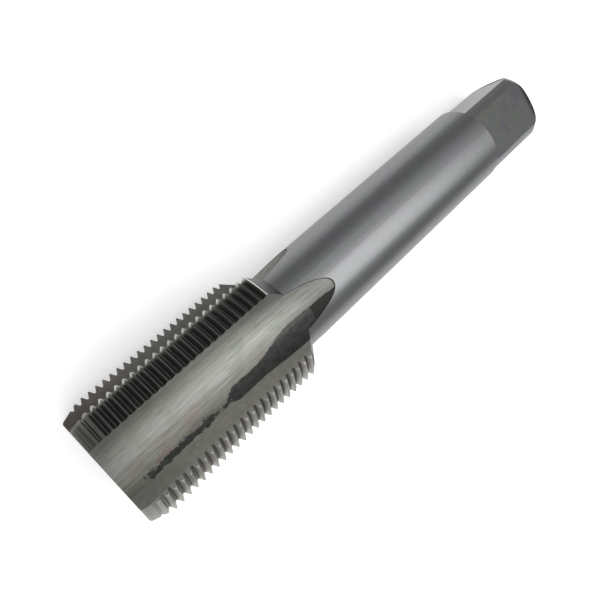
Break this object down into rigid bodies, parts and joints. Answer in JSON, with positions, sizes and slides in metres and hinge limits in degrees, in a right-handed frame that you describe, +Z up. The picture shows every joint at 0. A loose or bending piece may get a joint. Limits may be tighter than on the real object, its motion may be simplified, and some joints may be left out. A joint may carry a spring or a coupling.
{
  "type": "thread tap",
  "caption": "Straight-flute hand tap for a left-hand metric thread, with a tapered lead, a plain shank and a driving square",
  "frame": {"origin": "under the middle of the tap where it lies: the bottom centre of its bounding box, on the surface it rests on", "axes": "+Z up; +X along the tap from its cutting end to its driving square, the axis dipping 2.1 degrees towards the square; +Y across; one flute faces straight up and one straight down"},
  "size_m": [0.1532, 0.0282, 0.0296],
  "materials": {
    "tool_steel": "ground tool steel, satin along the flutes, darker on the unground flanks and the flats of the square"
  },
  "bodies": {
    "root": {"thread_tap": "tool_steel"}
  },
  "joints": []
}
